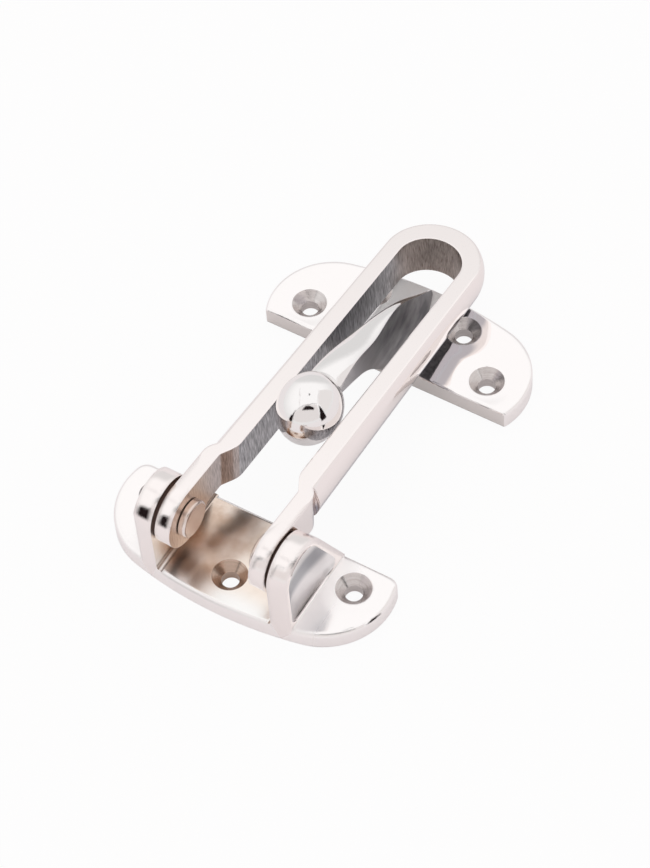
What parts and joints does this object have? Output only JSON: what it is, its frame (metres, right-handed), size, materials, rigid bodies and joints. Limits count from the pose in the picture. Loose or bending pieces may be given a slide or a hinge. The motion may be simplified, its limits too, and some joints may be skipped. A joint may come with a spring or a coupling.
{
  "type": "door guard",
  "caption": "Swing-bar door guard: a U-shaped bar pinned to a hinge base drops over the ball of a strike plate to hold a door ajar.",
  "frame": {"origin": "midway between the two wing screw holes of the hinge base, on the mounting surface", "axes": "+Z away from the mounting surface, +Y from the hinge base to the strike, +X along the hinge pins"},
  "size_m": [0.0712, 0.1133, 0.0325],
  "materials": {
    "polished_nickel": "mirror polished plate",
    "satin_nickel": "satin plate",
    "washer_fibre": "matte"
  },
  "bodies": {
    "fixed": {"hinge_base": "polished_nickel", "hinge_pin_left": "satin_nickel", "hinge_pin_right": "satin_nickel", "friction_washer_left": "washer_fibre", "friction_washer_right": "washer_fibre", "ball_strike": "polished_nickel"},
    "bar": {"swing_bar": "polished_nickel"}
  },
  "joints": [
    {"name": "bar_swing", "type": "hinge", "parent": "fixed", "child": "bar", "pos_m": [0, -0.00949, 0.0194], "axis": [1, 0, 0], "range_deg": [0, 180]}
  ]
}
